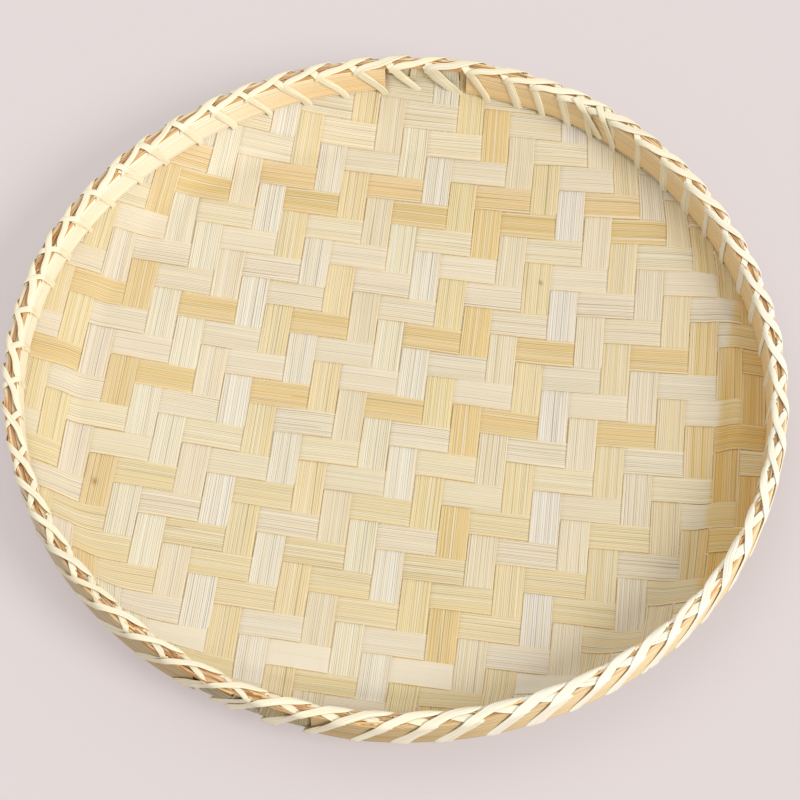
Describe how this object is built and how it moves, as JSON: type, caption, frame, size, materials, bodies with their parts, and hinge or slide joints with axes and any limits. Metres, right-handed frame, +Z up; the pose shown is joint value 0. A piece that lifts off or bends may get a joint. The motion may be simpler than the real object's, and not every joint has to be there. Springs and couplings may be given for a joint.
{
  "type": "winnowing tray",
  "caption": "Shallow round tray of flat bamboo strips in a two-by-two twill, its rim bent up and laced between an inner and an outer hoop.",
  "frame": {"origin": "centre of the base, on the surface that the tray rests on", "axes": "+Z up out of the tray; +X along the wefts; +Y across them, roughly along the warps"},
  "size_m": [0.3985, 0.4016, 0.0386],
  "materials": {
    "warp_strip": "satin, split bamboo with fine lengthwise fibres",
    "weft_strip": "satin, split bamboo with fine lengthwise fibres",
    "hoop_band": "satin, split bamboo with lengthwise grain",
    "filler_split": "matt, brown outer skin of bamboo",
    "lacing_ribbon": "satin, thin bamboo ribbon"
  },
  "bodies": {
    "root": {"warp_01": "warp_strip", "warp_02": "warp_strip", "warp_03": "warp_strip", "warp_04": "warp_strip", "warp_05": "warp_strip", "warp_06": "warp_strip", "warp_07": "warp_strip", "warp_08": "warp_strip", "warp_09": "warp_strip", "warp_10": "warp_strip", "warp_11": "warp_strip", "warp_12": "warp_strip", "warp_13": "warp_strip", "warp_14": "warp_strip", "warp_15": "warp_strip", "warp_16": "warp_strip", "warp_17": "warp_strip", "warp_18": "warp_strip", "warp_19": "warp_strip", "warp_20": "warp_strip", "warp_21": "warp_strip", "warp_22": "warp_strip", "warp_23": "warp_strip", "warp_24": "warp_strip", "warp_25": "warp_strip", "warp_26": "warp_strip", "warp_27": "warp_strip", "weft_01": "weft_strip", "weft_02": "weft_strip", "weft_03": "weft_strip", "weft_04": "weft_strip", "weft_05": "weft_strip", "weft_06": "weft_strip", "weft_07": "weft_strip", "weft_08": "weft_strip", "weft_09": "weft_strip", "weft_10": "weft_strip", "weft_11": "weft_strip", "weft_12": "weft_strip", "weft_13": "weft_strip", "weft_14": "weft_strip", "weft_15": "weft_strip", "weft_16": "weft_strip", "weft_17": "weft_strip", "weft_18": "weft_strip", "weft_19": "weft_strip", "weft_20": "weft_strip", "weft_21": "weft_strip", "weft_22": "weft_strip", "weft_23": "weft_strip", "weft_24": "weft_strip", "weft_25": "weft_strip", "weft_26": "weft_strip", "weft_27": "weft_strip", "inner_hoop": "hoop_band", "outer_hoop": "hoop_band", "rim_filler": "filler_split", "lacing_under": "lacing_ribbon", "lacing_over": "lacing_ribbon", "lacing_tail": "lacing_ribbon"}
  },
  "joints": []
}
